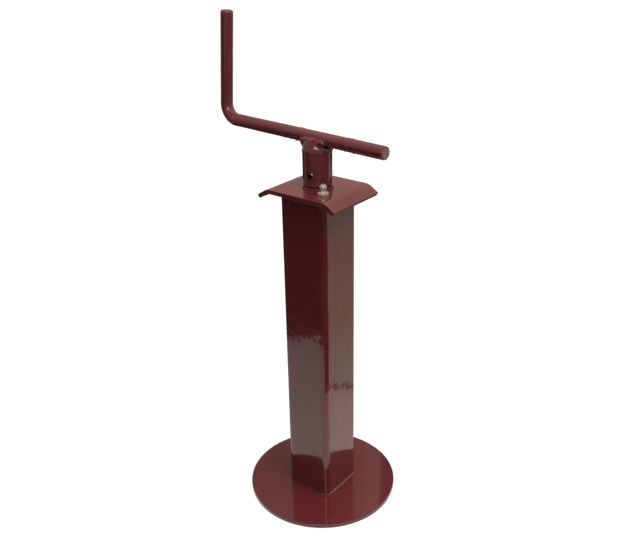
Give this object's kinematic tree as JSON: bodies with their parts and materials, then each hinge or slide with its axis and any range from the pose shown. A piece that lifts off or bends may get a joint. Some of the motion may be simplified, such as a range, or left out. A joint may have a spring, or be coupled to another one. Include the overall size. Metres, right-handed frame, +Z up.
{
  "type": "weld-on jack",
  "caption": "Weld-on screw jack: a hand crank turns a lead screw that pushes a square inner tube with a round foot out of a square outer tube.",
  "frame": {"origin": "centre of the foot plate's underside, on the screw's axis, jack closed", "axes": "+Z up along the screw towards the crank; +X and +Y square to the tube's faces, with the plate's bent lips at +X and -X"},
  "size_m": [0.2027, 0.1524, 0.4784],
  "materials": {
    "maroon_paint": "gloss enamel",
    "zinc": "bright zinc plate",
    "bare_steel": "bare, lightly greased",
    "hard_steel": "ground and polished",
    "brass": "machined"
  },
  "bodies": {
    "outer_body": {"outer_tube": "maroon_paint", "top_plate": "maroon_paint", "cap_weld": "maroon_paint", "grease_fitting_body": "zinc", "grease_fitting_spring": "hard_steel", "thrust_washer": "maroon_paint", "bearing_upper_race": "hard_steel"},
    "crank_body": {"crank_handle": "maroon_paint", "crank_hub": "maroon_paint", "hub_weld": "maroon_paint", "hub_pin": "bare_steel", "lead_screw": "bare_steel", "thrust_collar": "bare_steel", "collar_pin": "hard_steel", "bearing_lower_race": "hard_steel", "screw_stop_washer": "bare_steel", "screw_stop_pin": "hard_steel"},
    "foot_body": {"inner_tube": "bare_steel", "lift_nut": "brass", "nut_plug_welds": "bare_steel", "foot_plate": "maroon_paint", "foot_weld": "maroon_paint"},
    "ball_row": {"bearing_balls": "hard_steel", "bearing_cage": "brass"},
    "check_ball": {"grease_fitting_ball": "hard_steel"}
  },
  "joints": [
    {"name": "crank_turn", "type": "hinge", "parent": "outer_body", "child": "crank_body", "pos_m": [0, 0, 0.37], "axis": [0, 0, -1], "range_deg": [0, 14400]},
    {"name": "foot_extend", "type": "slide", "parent": "outer_body", "child": "foot_body", "axis": [0, 0, -1], "range_m": [0, 0.2032]},
    {"name": "ball_row_roll", "type": "hinge", "parent": "outer_body", "child": "ball_row", "pos_m": [0, 0, 0.32249], "axis": [0, 0, -1], "range_deg": [0, 7200]},
    {"name": "check_ball_push", "type": "slide", "parent": "outer_body", "child": "check_ball", "axis": [0, 0, -1], "range_m": [0, 0.001], "stiffness_N_per_m": 150, "springref_m": -0.002, "deforming": ["grease_fitting_spring"]}
  ],
  "couplings": [
    {"joint": "foot_extend", "follows": "crank_turn", "m_per_rad": 0.00080851},
    {"joint": "ball_row_roll", "follows": "crank_turn", "ratio": 0.5}
  ]
}
